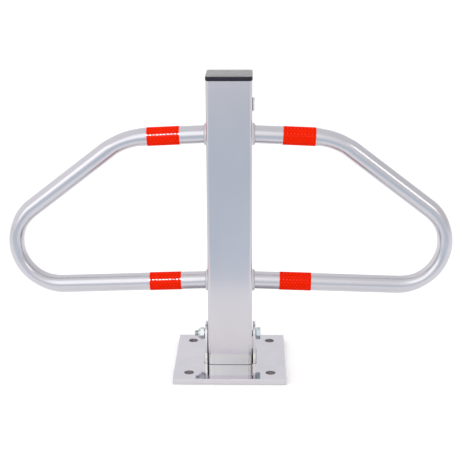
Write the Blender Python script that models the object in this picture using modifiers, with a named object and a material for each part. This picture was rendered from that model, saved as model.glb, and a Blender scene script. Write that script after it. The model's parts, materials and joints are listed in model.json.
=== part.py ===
"""Folding parking lock: a square post with two bent-tube wings, hinged on a bolted base plate.

Metres, +Z up, +X to the object's right, -Y to its front. The origin is the centre of the base
plate's underside. The post stands upright with its lock rod drawn up, so it is free to fold back.
"""

import math

import bmesh
import bpy
from mathutils import Matrix, Vector

MM = 0.001
GAP = 0.3 * MM  # between faces that touch
MERGE = 0.00001

# Base plate
PLATE_SIDE = 177 * MM
PLATE_THICKNESS = 9.5 * MM
PLATE_EDGE = 0.8 * MM
ANCHOR_SPACING = 128 * MM
ANCHOR_RADIUS = 7.5 * MM

# Post
POST_SIDE = 70 * MM
POST_WALL = 3 * MM
POST_CORNER = 6 * MM
POST_FOOT = 9.9 * MM
POST_TOP = 465.5 * MM

# Hinge, along X
HINGE_HEIGHT = 49.5 * MM
SWING_RADIUS = 39.4 * MM
BOLT_RADIUS = 5 * MM
BOLT_LENGTH = 100 * MM
HEX_ACROSS_FLATS = 17 * MM
HEAD_HEIGHT = 6.4 * MM
NUT_HEX_HEIGHT = 7 * MM
NUT_COLLAR_HEIGHT = 3 * MM
NUT_COLLAR_RADIUS = 7.7 * MM
NUT_COLLAR_WALL = 0.9 * MM
WASHER_RADIUS = 9 * MM
WASHER_THICKNESS = 1.2 * MM
SLEEVE_RADIUS = 8 * MM
RUNNING_GAP = 0.3 * MM

# Hinge lugs
LUG_CLEARANCE = 1.2 * MM
LUG_THICKNESS = 4 * MM
LUG_FOOT_HALF = 30 * MM
LUG_SHOULDER = 26 * MM
LUG_TOP_RADIUS = 20 * MM
LUG_WELD = 2.2 * MM

# Wings
TUBE_RADIUS = 14 * MM
TUBE_WALL = 2 * MM
WING_HALF_WIDTH = 349.5 * MM
UPPER_LEG_HEIGHT = 378.1 * MM
LOWER_LEG_HEIGHT = 141.4 * MM
UPPER_LEG_SLOPE = math.radians(2.5)
LOWER_LEG_SLOPE = math.radians(1.75)
DIAGONAL_SLOPE = math.radians(37.4)
SHOULDER_RADIUS = 109 * MM
ELBOW_RADIUS = 70.2 * MM
SHOULDER_SQUASH = 0.05  # share of its width that the tube loses in the bend
ELBOW_SQUASH = 0.15
SPREAD = 0.6  # of that, what it gains across the bend
WELD_REACH = 4.2 * MM
WELD_HEIGHT = 3.2 * MM
WING_WELDS = {
    "left_upper_weld": ("-X", UPPER_LEG_HEIGHT),
    "left_lower_weld": ("-X", LOWER_LEG_HEIGHT),
    "right_upper_weld": ("X", UPPER_LEG_HEIGHT),
    "right_lower_weld": ("X", LOWER_LEG_HEIGHT),
}

# Reflective bands
BAND_WIDTH = 50 * MM
BAND_THICKNESS = 0.3 * MM
BAND_PLACES = {
    "left_upper_band": (-101.3 * MM, "upper"),
    "left_lower_band": (-102.7 * MM, "lower"),
    "right_upper_band": (106.8 * MM, "upper"),
    "right_lower_band": (103.1 * MM, "lower"),
}

# Top cap
CAP_SIDE = 71 * MM
CAP_HEIGHT = 6.2 * MM
CAP_EDGE = 0.8 * MM
SKIRT_DEPTH = 15 * MM
SKIRT_WALL = 2 * MM
SKIRT_STEP = 0.8 * MM
RIB_HEIGHT = 1.5 * MM

# Lock, along X through the right wall
LOCK_HEIGHT = 424.3 * MM
GASKET_THICKNESS = 0.6 * MM
BEZEL_RADIUS = 11 * MM
BEZEL_THICKNESS = 1.4 * MM
BARREL_RADIUS = 9.5 * MM
BARREL_END = 16 * MM
PLUG_RADIUS = 6 * MM
PLUG_FACE_DEPTH = 0.5 * MM
KEYWAY_WIDTH = 2 * MM
KEYWAY_HEIGHT = 7.6 * MM
KEYWAY_DEPTH = 14 * MM
TANG_SIDE = 6.4 * MM
LOCK_NUT_HEIGHT = 4 * MM
LOCK_NUT_FLATS = 23 * MM
CAM_FACE = 15 * MM
CAM_THICKNESS = 3 * MM
CAM_SCREW_RADIUS = 2 * MM
CAM_SCREW_LENGTH = 9 * MM
CAM_SCREW_HEAD = 2.4 * MM
COVER_RADIUS = 8.3 * MM
COVER_THICKNESS = 0.8 * MM
RIVET_RADIUS = 1.1 * MM
RIVET_HEAD_RADIUS = 2.1 * MM
RIVET_HEAD_HEIGHT = 0.6 * MM
RIVET_RISE = 8.2 * MM

# Lock rod, along Z behind the hinge
ROD_TRAVEL = 17 * MM
ROD_BACK = 22.5 * MM
ROD_RADIUS = 5 * MM
ROD_TIP = 20 * MM
ROD_TIP_CHAMFER = 2.5 * MM
ROD_TOP = 445 * MM
ROD_HOLE_RADIUS = 6.5 * MM
GUIDE_HEIGHTS = {"lower_rod_guide": 95 * MM, "upper_rod_guide": 330 * MM}
GUIDE_THICKNESS = 5 * MM
GUIDE_FRONT = 8 * MM
DRIVE_PIN_RADIUS = 2.5 * MM
DRIVE_PIN_END = -4.5 * MM
YOKE_HEIGHT = 14 * MM
YOKE_THICKNESS = 5 * MM
YOKE_COLLAR_RADIUS = 7.3 * MM
YOKE_PIN_RADIUS = 1.5 * MM
SLOT_CLEARANCE = 0.8 * MM

POST_HALF = POST_SIDE / 2
INNER_HALF = POST_HALF - POST_WALL
LUG_INNER = POST_HALF + LUG_CLEARANCE
LUG_OUTER = LUG_INNER + LUG_THICKNESS
HEAD_INNER = LUG_OUTER + GAP + WASHER_THICKNESS + GAP
HEX_RADIUS = HEX_ACROSS_FLATS / math.sqrt(3)
# The drive pin swings a quarter turn, from 45 degrees above the lock's axis to 45 below it.
CAM_RADIUS = ROD_TRAVEL / math.sqrt(2)
DRIVE_PIN_OFFSET = CAM_RADIUS / math.sqrt(2)
BEZEL_FACE = POST_HALF + GAP + GASKET_THICKNESS + GAP + BEZEL_THICKNESS

parts = bpy.data.collections.new("folding_parking_lock")
cutters = bpy.data.collections.new("cutters")
materials = {}


def clear_scene():
    for obj in list(bpy.data.objects):
        bpy.data.objects.remove(obj, do_unlink=True)
    for collection in (parts, cutters):
        bpy.context.scene.collection.children.link(collection)


def make_material(name, colour, roughness, metallic):
    material = bpy.data.materials.new(name)
    material.use_nodes = True
    shader = material.node_tree.nodes["Principled BSDF"]
    shader.inputs["Base Color"].default_value = (*colour, 1)
    shader.inputs["Roughness"].default_value = roughness
    shader.inputs["Metallic"].default_value = metallic
    materials[name] = material


def make_materials():
    make_material("galvanised_post", (0.62, 0.66, 0.71), 0.32, 1.0)
    make_material("galvanised_tube", (0.70, 0.72, 0.76), 0.28, 1.0)
    make_material("polished_plate", (0.72, 0.72, 0.76), 0.12, 1.0)
    make_material("lug_steel", (0.70, 0.70, 0.73), 0.20, 1.0)
    make_material("weld_metal", (0.60, 0.60, 0.62), 0.45, 1.0)
    make_material("zinc_plate", (0.62, 0.72, 0.76), 0.25, 1.0)
    make_material("bright_steel", (0.66, 0.66, 0.67), 0.30, 1.0)
    make_material("reflective_red", (0.90, 0.06, 0.02), 0.25, 0.0)
    make_material("black_plastic", (0.025, 0.025, 0.03), 0.35, 0.0)
    make_material("white_nylon", (0.80, 0.80, 0.78), 0.45, 0.0)
    make_material("black_rubber", (0.02, 0.02, 0.02), 0.70, 0.0)
    make_material("lock_chrome", (0.80, 0.80, 0.82), 0.10, 1.0)
    make_material("lock_brass", (0.72, 0.55, 0.28), 0.28, 1.0)


def finish(obj, name, material, cutter=False):
    """Names a shape and puts it with the parts, or with the cutters that no render shows."""
    obj.name = name
    obj.data.name = name
    if cutter:
        cutters.objects.link(obj)
        obj.hide_render = True
        obj.display_type = "WIRE"
        return obj
    parts.objects.link(obj)
    obj.data.materials.append(materials[material])
    return obj


def mesh_object(bm, name, material, cutter=False, smooth=30):
    mesh = bpy.data.meshes.new(name)
    bm.to_mesh(mesh)
    bm.free()
    mesh.shade_smooth()
    mesh.set_sharp_from_angle(angle=math.radians(smooth))
    return finish(bpy.data.objects.new(name, mesh), name, material, cutter)


def box(name, low, high, material=None, cutter=False, corner=0.0, segments=4, top_edge=0.0):
    """A box between two corners, with its upright edges rounded and its top edge eased if asked."""
    low, high = Vector(low), Vector(high)
    bm = bmesh.new()
    bmesh.ops.create_cube(bm, size=1)
    bmesh.ops.scale(bm, vec=high - low, verts=bm.verts)
    bmesh.ops.translate(bm, vec=(low + high) / 2, verts=bm.verts)
    if corner:
        upright = [e for e in bm.edges if abs(e.verts[0].co.z - e.verts[1].co.z) > MERGE]
        bmesh.ops.bevel(bm, geom=upright, offset=corner, segments=segments, profile=0.5, affect="EDGES")
    if top_edge:
        rim = [e for e in bm.edges if all(v.co.z > high.z - MERGE for v in e.verts)]
        bmesh.ops.bevel(bm, geom=rim, offset=top_edge, segments=2, profile=0.5, affect="EDGES")
    return mesh_object(bm, name, material, cutter)


def rod(name, radius, start, end, axis="X", material=None, cutter=False, sides=24, at=(0, 0), twist=0):
    """A straight bar or a hole's cutter along X, Y or Z; `at` is its place on the other two axes and
    `twist` turns its corners about its own axis, in degrees."""
    bm = bmesh.new()
    turn = Matrix.Rotation(math.radians(twist), 4, "Z")
    bmesh.ops.create_cone(
        bm, cap_ends=True, segments=sides, radius1=radius, radius2=radius, depth=end - start, matrix=turn
    )
    obj = mesh_object(bm, name, material, cutter)
    middle = (start + end) / 2
    if axis == "X":
        obj.rotation_euler = (0, math.pi / 2, 0)
        obj.location = (middle, *at)
    elif axis == "Y":
        obj.rotation_euler = (math.pi / 2, 0, 0)
        obj.location = (at[0], middle, at[1])
    else:
        obj.location = (*at, middle)
    return obj


def turned(name, profile, location, material, axis="X", sides=24):
    """A turned piece. The profile is (radius, distance along the axis), down its outer side; it
    closes on itself for a ring and ends on the axis for a solid."""
    ring = all(radius > 0 for radius, _ in profile)
    mesh = bpy.data.meshes.new(name)
    points = [(radius, 0, along) for radius, along in profile]
    edges = [(i, i + 1) for i in range(len(points) - 1)]
    if ring:
        edges.append((len(points) - 1, 0))
    mesh.from_pydata(points, edges, [])
    obj = finish(bpy.data.objects.new(name, mesh), name, material)
    screw = obj.modifiers.new("turn", "SCREW")
    screw.steps = screw.render_steps = sides
    screw.use_merge_vertices = True
    screw.merge_threshold = MERGE
    screw.use_smooth_shade = True
    obj.location = location
    quarters = {"Z": 0, "X": 1, "-X": -1}[axis]
    obj.rotation_euler = (0, quarters * math.pi / 2, 0)
    return obj


def ring_profile(inner, outer, low, high):
    return [(outer, high), (outer, low), (inner, low), (inner, high)]


def arc(centre, radius, start, end, steps):
    """Points on an arc, from one angle to another in degrees, both ends included."""
    turns = [math.radians(start + (end - start) * i / steps) for i in range(steps + 1)]
    return [(centre[0] + radius * math.cos(t), centre[1] + radius * math.sin(t)) for t in turns]


def mesh_of_curve(curve, material, cutter=False):
    """Turns a curve object into a mesh object at the same place, with its caps welded on."""
    graph = bpy.context.evaluated_depsgraph_get()
    mesh = bpy.data.meshes.new_from_object(curve.evaluated_get(graph))
    place = curve.matrix_world.copy()
    name = curve.name
    bpy.data.objects.remove(curve)
    bm = bmesh.new()
    bm.from_mesh(mesh)
    bmesh.ops.remove_doubles(bm, verts=bm.verts, dist=MERGE)
    bm.to_mesh(mesh)
    bm.free()
    mesh.materials.clear()
    mesh.shade_smooth()
    mesh.set_sharp_from_angle(angle=math.radians(30))
    obj = finish(bpy.data.objects.new(name, mesh), name, material, cutter)
    obj.matrix_world = place
    return obj


def plate(name, outline, start, end, axis, material=None, cutter=False):
    """A flat outline given as (Y, Z) and extruded along X, or as (X, Z) and extruded along Y."""
    curve = bpy.data.curves.new(name, "CURVE")
    curve.dimensions = "2D"
    curve.fill_mode = "BOTH"
    curve.extrude = (end - start) / 2
    spline = curve.splines.new("POLY")
    spline.points.add(len(outline) - 1)
    for point, (across, up) in zip(spline.points, outline):
        point.co = (across, up, 0, 1)
    spline.use_cyclic_u = True
    obj = bpy.data.objects.new(name, curve)
    bpy.context.scene.collection.objects.link(obj)
    middle = (start + end) / 2
    if axis == "X":
        obj.rotation_euler = (math.pi / 2, 0, math.pi / 2)
        obj.location = (middle, 0, 0)
    else:
        obj.rotation_euler = (math.pi / 2, 0, 0)
        obj.location = (0, middle, 0)
    bpy.context.view_layer.update()
    return mesh_of_curve(obj, material, cutter)


def combine(part, other, operation="DIFFERENCE"):
    boolean = part.modifiers.new(f"{operation.lower()}_{other.name}", "BOOLEAN")
    boolean.operation = operation
    boolean.object = other
    boolean.solver = "EXACT"
    return part


def hang(pivot_name, location, names):
    """Parents pieces, and the cutters that shape them, to an empty on their joint's axis."""
    pivot = bpy.data.objects.new(pivot_name, None)
    pivot.location = location
    parts.objects.link(pivot)
    back = Matrix.Translation(location).inverted()
    for name in names:
        obj = bpy.data.objects[name]
        for modifier in obj.modifiers:
            if modifier.type == "BOOLEAN" and modifier.object.parent is None:
                modifier.object.parent = pivot
                modifier.object.matrix_parent_inverse = back
        obj.parent = pivot
        obj.matrix_parent_inverse = back
    return pivot


def hinge_hole(name, radius):
    return rod(name, radius, -BOLT_LENGTH, BOLT_LENGTH, cutter=True, at=(0, HINGE_HEIGHT))


# ---------------------------------------------------------------------------------------- foot


def make_base_plate():
    half = PLATE_SIDE / 2
    part = box("base_plate", (-half, -half, 0), (half, half, PLATE_THICKNESS), "polished_plate")
    edges = part.modifiers.new("eased_edges", "BEVEL")
    edges.width = PLATE_EDGE
    edges.segments = 1
    edges.limit_method = "ANGLE"
    places = {
        f"anchor_hole_{i}": (x * ANCHOR_SPACING / 2, y * ANCHOR_SPACING / 2)
        for i, (x, y) in enumerate([(-1, -1), (1, -1), (1, 1), (-1, 1)], 1)
    }
    for name, at in places.items():
        cutter = rod(name, ANCHOR_RADIUS, -half, half, axis="Z", cutter=True, at=at)
        combine(part, cutter)
    seat = rod("rod_seat", ROD_HOLE_RADIUS, -half, half, axis="Z", cutter=True, at=(0, ROD_BACK))
    combine(part, seat)


def lug_outline():
    """The lug's side view: a broad foot that narrows to a round top about the hinge."""
    foot = PLATE_THICKNESS + GAP
    across = LUG_FOOT_HALF
    rise = HINGE_HEIGHT - LUG_SHOULDER
    # The slanted edge runs from the shoulder and touches the round top.
    reach = math.hypot(across, rise)
    touch = math.degrees(math.acos(LUG_TOP_RADIUS / reach) - math.atan2(rise, across))
    top = arc((0, HINGE_HEIGHT), LUG_TOP_RADIUS, touch, 180 - touch, 12)
    return [(-across, foot), (across, foot), (across, LUG_SHOULDER), *top, (-across, LUG_SHOULDER)]


def make_lugs():
    bolt_hole = hinge_hole("bolt_hole", BOLT_RADIUS + RUNNING_GAP)
    for name, start in (("left_lug", -LUG_OUTER), ("right_lug", LUG_INNER)):
        lug = plate(name, lug_outline(), start, start + LUG_THICKNESS, "X", "lug_steel")
        combine(lug, bolt_hole)


def make_lug_welds():
    """Fillet beads along the outer foot of both lugs."""
    corner = (LUG_OUTER + GAP, PLATE_THICKNESS + GAP)
    end = LUG_FOOT_HALF - GAP
    section = [corner, *arc(corner, LUG_WELD, 0, 90, 4)]
    plate("right_lug_weld", section, -end, end, "Y", "weld_metal")
    opposite = [(-across, up) for across, up in section]
    plate("left_lug_weld", opposite, -end, end, "Y", "weld_metal")


def make_hinge_bolt():
    tip = HEAD_INNER - BOLT_LENGTH
    head = (HEAD_INNER, HEAD_INNER + HEAD_HEIGHT)
    axis = (0, HINGE_HEIGHT)
    part = rod("hinge_bolt", HEX_RADIUS, *head, material="zinc_plate", sides=6, at=axis, twist=30)
    shank = rod("bolt_shank", BOLT_RADIUS, tip, HEAD_INNER + HEAD_HEIGHT / 2, cutter=True, at=axis)
    combine(part, shank, "UNION")


def make_hinge_nut():
    """A locking nut: a hexagon with a thin collar that holds the nylon ring."""
    inner = -HEAD_INNER
    outer = inner - NUT_HEX_HEIGHT
    end = outer - NUT_COLLAR_HEIGHT
    axis = (0, HINGE_HEIGHT)
    nut = rod("hinge_nut", HEX_RADIUS, outer, inner, material="zinc_plate", sides=6, at=axis, twist=30)
    collar = rod("nut_collar", NUT_COLLAR_RADIUS, end, outer + MM, cutter=True, at=axis)
    seat_radius = NUT_COLLAR_RADIUS - NUT_COLLAR_WALL
    seat = rod("nylon_seat", seat_radius, end - MM, outer - GAP, cutter=True, at=axis)
    combine(nut, collar, "UNION")
    combine(nut, seat)
    combine(nut, hinge_hole("nut_bore", BOLT_RADIUS + GAP))
    ring = ring_profile(BOLT_RADIUS + GAP, seat_radius - GAP, end + GAP, outer - 2 * GAP)
    turned("nut_insert", ring, (0, 0, HINGE_HEIGHT), "white_nylon")


def make_washers():
    ring = ring_profile(BOLT_RADIUS + GAP, WASHER_RADIUS, 0, WASHER_THICKNESS)
    head_side = LUG_OUTER + GAP
    nut_side = -head_side - WASHER_THICKNESS
    turned("head_washer", ring, (head_side, 0, HINGE_HEIGHT), "zinc_plate")
    turned("nut_washer", ring, (nut_side, 0, HINGE_HEIGHT), "zinc_plate")


# ---------------------------------------------------------------------------------------- post


def post_prism(name, half, low, high, corner, material=None, cutter=False, **more):
    return box(name, (-half, -half, low), (half, half, high), material, cutter, corner, **more)


def make_post_tube():
    """The square tube. Its rear foot is cut round the hinge, so that it clears the plate as the
    post folds back; its front foot stands on the plate and stops it."""
    part = post_prism("post_tube", POST_HALF, POST_FOOT, POST_TOP, POST_CORNER, "galvanised_post")
    inner_corner = POST_CORNER - POST_WALL
    hollow = post_prism("post_hollow", INNER_HALF, -POST_FOOT, 2 * POST_TOP, inner_corner, cutter=True)
    combine(part, hollow)
    combine(part, hinge_hole("sleeve_hole", SLEEVE_RADIUS + GAP))
    lock_hole = rod(
        "lock_hole", BARREL_RADIUS + GAP, 0, POST_SIDE, cutter=True, at=(0, LOCK_HEIGHT), sides=32
    )
    combine(part, lock_hole)
    round_foot = arc((0, HINGE_HEIGHT), SWING_RADIUS, -90, 0, 10)
    outline = [(0, 0), (POST_SIDE, 0), (POST_SIDE, HINGE_HEIGHT), *reversed(round_foot)]
    combine(part, plate("rear_foot_cut", outline, -POST_SIDE, POST_SIDE, "X", cutter=True))


def make_hinge_sleeve():
    ring = ring_profile(BOLT_RADIUS + RUNNING_GAP, SLEEVE_RADIUS, -POST_HALF, POST_HALF)
    turned("hinge_sleeve", ring, (0, 0, HINGE_HEIGHT), "bright_steel")


def make_rod_guides():
    half = INNER_HALF - GAP
    for name, height in GUIDE_HEIGHTS.items():
        low = (-half, GUIDE_FRONT, height)
        guide = box(name, low, (half, half, height + GUIDE_THICKNESS), "bright_steel", corner=3 * MM)
        hole = rod(
            f"{name}_hole", ROD_RADIUS + GAP, 0, POST_TOP, axis="Z", cutter=True, at=(0, ROD_BACK)
        )
        combine(guide, hole)


def make_top_cap():
    low = POST_TOP + GAP
    foot = low - SKIRT_DEPTH
    skirt_half = INNER_HALF - GAP
    part = post_prism(
        "top_cap", CAP_SIDE / 2, low, low + CAP_HEIGHT, POST_CORNER, "black_plastic", top_edge=CAP_EDGE
    )
    skirt = post_prism("cap_skirt", skirt_half - SKIRT_STEP, foot, low + MM, 2 * MM, cutter=True)
    combine(part, skirt, "UNION")
    for i in (1, 2):
        rib = foot + i * SKIRT_DEPTH / 3
        name = f"cap_rib_{i}"
        combine(part, post_prism(name, skirt_half, rib, rib + RIB_HEIGHT, 2.5 * MM, cutter=True), "UNION")
    inner_half = skirt_half - SKIRT_STEP - SKIRT_WALL
    combine(part, post_prism("cap_hollow", inner_half, 0, low + SKIRT_WALL, 2 * MM, cutter=True))


# ---------------------------------------------------------------------------------------- wings


def wing_path():
    """The wing's centre line as (distance from the post's axis, height): the upper leg, the
    shoulder bend, the diagonal, the elbow bend and the lower leg back to the post. With it goes the
    share by which the tube is squashed at each point."""
    elbow_x = WING_HALF_WIDTH - TUBE_RADIUS * (1 - ELBOW_SQUASH) - ELBOW_RADIUS
    lower_leg = LOWER_LEG_HEIGHT - (elbow_x - POST_HALF) * math.tan(LOWER_LEG_SLOPE)
    elbow = (elbow_x, lower_leg + ELBOW_RADIUS / math.cos(LOWER_LEG_SLOPE))
    diagonal = math.degrees(DIAGONAL_SLOPE)
    upper = math.degrees(UPPER_LEG_SLOPE)
    lower = math.degrees(LOWER_LEG_SLOPE)
    # The diagonal leaves the elbow where the elbow's radius is square to it.
    leave = arc(elbow, ELBOW_RADIUS, 90 - diagonal, 90 - diagonal, 1)[0]
    upper_drop = math.tan(UPPER_LEG_SLOPE)
    diagonal_drop = math.tan(DIAGONAL_SLOPE)
    rise = leave[1] + leave[0] * diagonal_drop - UPPER_LEG_HEIGHT - POST_HALF * upper_drop
    corner_x = rise / (diagonal_drop - upper_drop)
    corner_z = UPPER_LEG_HEIGHT - (corner_x - POST_HALF) * upper_drop
    back = SHOULDER_RADIUS * math.tan((DIAGONAL_SLOPE - UPPER_LEG_SLOPE) / 2)
    start = Vector((corner_x, corner_z)) - back * Vector((1, -upper_drop)).normalized()
    square = Vector((math.sin(UPPER_LEG_SLOPE), math.cos(UPPER_LEG_SLOPE)))
    shoulder = start - SHOULDER_RADIUS * square
    inside = POST_HALF - TUBE_RADIUS
    shoulder_bend = arc(shoulder, SHOULDER_RADIUS, 90 - upper, 90 - diagonal, 6)
    elbow_bend = arc(elbow, ELBOW_RADIUS, 90 - diagonal, -90 - lower, 20)
    path = [
        (inside, UPPER_LEG_HEIGHT + TUBE_RADIUS * upper_drop),
        *shoulder_bend,
        *elbow_bend,
        (inside, LOWER_LEG_HEIGHT + TUBE_RADIUS * math.tan(LOWER_LEG_SLOPE)),
    ]
    squash = [0, *bend_squash(shoulder_bend, SHOULDER_SQUASH), *bend_squash(elbow_bend, ELBOW_SQUASH), 0]
    return path, squash


def bend_squash(bend, most):
    """The squash at each point of a bend: it grows over the first quarter and fades over the last."""
    last = len(bend) - 1
    return [most * min(1, 4 * i / last, 4 * (last - i) / last) for i in range(len(bend))]


def bent_tube(name, path, squash, radius, wall, material, sides=20):
    """A hollow tube in the XZ plane along (X, Z) points, squashed where it is bent."""
    bm = bmesh.new()
    points = [Vector(point) for point in path]
    rings = []
    for i, (point, share) in enumerate(zip(points, squash)):
        ahead = points[min(i + 1, len(points) - 1)] - points[max(i - 1, 0)]
        across = Vector((-ahead.y, ahead.x)).normalized() * radius * (1 - share)
        depth = radius * (1 + SPREAD * share)
        ring = []
        for turn in [2 * math.pi * k / sides for k in range(sides)]:
            flat = point + across * math.sin(turn)
            ring.append(bm.verts.new((flat.x, depth * math.cos(turn), flat.y)))
        rings.append(ring)
    for ring, following in zip(rings, rings[1:]):
        for k in range(sides):
            bm.faces.new((ring[k - 1], ring[k], following[k], following[k - 1]))
    bmesh.ops.recalc_face_normals(bm, faces=bm.faces)
    part = mesh_object(bm, name, material)
    shell = part.modifiers.new("wall", "SOLIDIFY")
    shell.thickness = wall
    shell.offset = -1
    return part


def make_wings():
    """Both wings' ends are cut flush with the post's sides."""
    trim = post_prism("wing_end_cut", POST_HALF + GAP, 0, POST_TOP, MM, cutter=True)
    for name, side in (("right_wing", 1), ("left_wing", -1)):
        path, squash = wing_path()
        mirrored = [(side * x, z) for x, z in path]
        tube = bent_tube(name, mirrored, squash, TUBE_RADIUS, TUBE_WALL, "galvanised_tube")
        combine(tube, trim)


def make_wing_welds():
    """The four rings of weld where the wings' legs meet the post."""
    face = POST_HALF + GAP
    inner = TUBE_RADIUS + GAP
    bulge = [(inner + WELD_HEIGHT * c, face + WELD_REACH * s) for c, s in arc((0, 0), 1, 90, 0, 4)]
    ring = [*bulge, (inner, face)]
    for name, (axis, height) in WING_WELDS.items():
        turned(name, ring, (0, 0, height), "weld_metal", axis, sides=20)


def leg_height(across, leg):
    reach = abs(across) - POST_HALF
    if leg == "upper":
        return UPPER_LEG_HEIGHT - reach * math.tan(UPPER_LEG_SLOPE)
    return LOWER_LEG_HEIGHT - reach * math.tan(LOWER_LEG_SLOPE)


def make_bands():
    for name, (middle, leg) in BAND_PLACES.items():
        ends = (middle - BAND_WIDTH / 2, middle + BAND_WIDTH / 2)
        places = [(across, leg_height(across, leg)) for across in ends]
        radius = TUBE_RADIUS + GAP + BAND_THICKNESS
        bent_tube(name, places, [0, 0], radius, BAND_THICKNESS, "reflective_red", sides=24)


# ---------------------------------------------------------------------------------------- lock


def make_lock_housing():
    """The bezel and the barrel, bored for the plug."""
    bezel_back = BEZEL_FACE - BEZEL_THICKNESS
    bore = PLUG_RADIUS + RUNNING_GAP
    edge = 0.5 * MM
    profile = [
        (bore + edge, BEZEL_FACE),
        (BEZEL_RADIUS - edge, BEZEL_FACE),
        (BEZEL_RADIUS, BEZEL_FACE - edge),
        (BEZEL_RADIUS, bezel_back),
        (BARREL_RADIUS, bezel_back),
        (BARREL_RADIUS, BARREL_END),
        (bore, BARREL_END),
        (bore, BEZEL_FACE - edge),
    ]
    housing = turned("lock_housing", profile, (0, 0, LOCK_HEIGHT), "lock_chrome", sides=32)
    rivet = (0, LOCK_HEIGHT + RIVET_RISE)
    hole = rod(
        "rivet_hole", RIVET_RADIUS + GAP, BEZEL_FACE - MM, POST_SIDE, cutter=True, at=rivet, sides=12
    )
    combine(housing, hole)
    ring = ring_profile(BARREL_RADIUS + GAP, BEZEL_RADIUS, 0, GASKET_THICKNESS)
    turned("lock_gasket", ring, (POST_HALF + GAP, 0, LOCK_HEIGHT), "black_rubber", sides=32)


def make_lock_nut():
    high = INNER_HALF - GAP
    low = high - LOCK_NUT_HEIGHT
    axis = (0, LOCK_HEIGHT)
    radius = LOCK_NUT_FLATS / math.sqrt(3)
    nut = rod("lock_nut", radius, low, high, material="bright_steel", sides=6, at=axis)
    combine(nut, rod("lock_nut_bore", BARREL_RADIUS + GAP, 0, high + MM, cutter=True, at=axis, sides=32))


def make_lock_plug():
    """The turning plug, with its keyway in front and a square tang behind for the cam."""
    axis = (0, LOCK_HEIGHT)
    shoulder = CAM_FACE + GAP
    face = BEZEL_FACE - PLUG_FACE_DEPTH
    part = rod("lock_plug", PLUG_RADIUS, shoulder, face, material="lock_brass", at=axis)
    half = TANG_SIDE / 2
    tang_end = CAM_FACE - CAM_THICKNESS + GAP
    tang = box(
        "plug_tang",
        (tang_end, -half, LOCK_HEIGHT - half),
        (shoulder + MM, half, LOCK_HEIGHT + half),
        cutter=True,
    )
    keyway = box(
        "keyway",
        (face - KEYWAY_DEPTH, -KEYWAY_WIDTH / 2, LOCK_HEIGHT - KEYWAY_HEIGHT / 2),
        (face + MM, KEYWAY_WIDTH / 2, LOCK_HEIGHT + KEYWAY_HEIGHT / 2),
        cutter=True,
    )
    screw_end = CAM_FACE - CAM_THICKNESS - GAP + CAM_SCREW_LENGTH
    screw_bore = rod(
        "screw_bore", CAM_SCREW_RADIUS + GAP, 0, screw_end + GAP, cutter=True, at=axis, sides=16
    )
    combine(part, tang, "UNION")
    combine(part, keyway)
    combine(part, screw_bore)


def make_lock_cam():
    """The cam: a round-ended arm on the plug's tang, with the drive pin that lifts the rod."""
    back = CAM_FACE - CAM_THICKNESS
    eye = 6.5 * MM
    tip = 4.5 * MM
    lean = math.degrees(math.asin((eye - tip) / CAM_RADIUS))
    outline = [
        *arc((0, 0), eye, 90 - lean, 270 + lean, 14),
        *arc((CAM_RADIUS, 0), tip, -90 + lean, 90 - lean, 8),
    ]
    turn = Matrix.Rotation(math.radians(45), 2)
    raised = [turn @ Vector(point) for point in outline]
    placed = [(across, up + LOCK_HEIGHT) for across, up in raised]
    part = plate("lock_cam", placed, back, CAM_FACE, "X", "bright_steel")
    pin_at = (DRIVE_PIN_OFFSET, LOCK_HEIGHT + DRIVE_PIN_OFFSET)
    pin = rod(
        "drive_pin", DRIVE_PIN_RADIUS, DRIVE_PIN_END, back + MM, cutter=True, at=pin_at, sides=16
    )
    combine(part, pin, "UNION")
    half = TANG_SIDE / 2 + GAP
    square = box(
        "tang_hole", (0, -half, LOCK_HEIGHT - half), (POST_SIDE, half, LOCK_HEIGHT + half), cutter=True
    )
    combine(part, square)


def make_cam_screw():
    seat = CAM_FACE - CAM_THICKNESS - GAP
    head = 4.8 * MM
    profile = [
        (0, seat + CAM_SCREW_LENGTH),
        (CAM_SCREW_RADIUS, seat + CAM_SCREW_LENGTH),
        (CAM_SCREW_RADIUS, seat),
        (head, seat),
        (head, seat - CAM_SCREW_HEAD + 0.6 * MM),
        (head - 0.8 * MM, seat - CAM_SCREW_HEAD),
        (0, seat - CAM_SCREW_HEAD),
    ]
    turned("cam_screw", profile, (0, 0, LOCK_HEIGHT), "bright_steel", sides=16)


def make_dust_cover():
    """The swing cover over the keyway, and the rivet at its top that it hangs on."""
    inner = BEZEL_FACE + GAP
    outer = inner + COVER_THICKNESS
    pivot = (0, LOCK_HEIGHT + RIVET_RISE)
    cover = rod(
        "dust_cover", COVER_RADIUS, inner, outer, material="lock_chrome", at=(0, LOCK_HEIGHT), sides=32
    )
    ear = rod("cover_ear", 2.6 * MM, inner, outer, cutter=True, at=pivot, sides=20)
    hole = rod("cover_hole", RIVET_RADIUS + GAP, 0, POST_SIDE, cutter=True, at=pivot, sides=12)
    combine(cover, ear, "UNION")
    combine(cover, hole)
    head = outer + GAP
    profile = [
        (0, head + RIVET_HEAD_HEIGHT),
        (RIVET_HEAD_RADIUS * 0.6, head + RIVET_HEAD_HEIGHT * 0.85),
        (RIVET_HEAD_RADIUS, head),
        (RIVET_RADIUS, head),
        (RIVET_RADIUS, BEZEL_FACE - MM + GAP),
        (0, BEZEL_FACE - MM + GAP),
    ]
    turned("cover_rivet", profile, (0, 0, LOCK_HEIGHT + RIVET_RISE), "lock_chrome", sides=12)


# ---------------------------------------------------------------------------------------- rod


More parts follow.
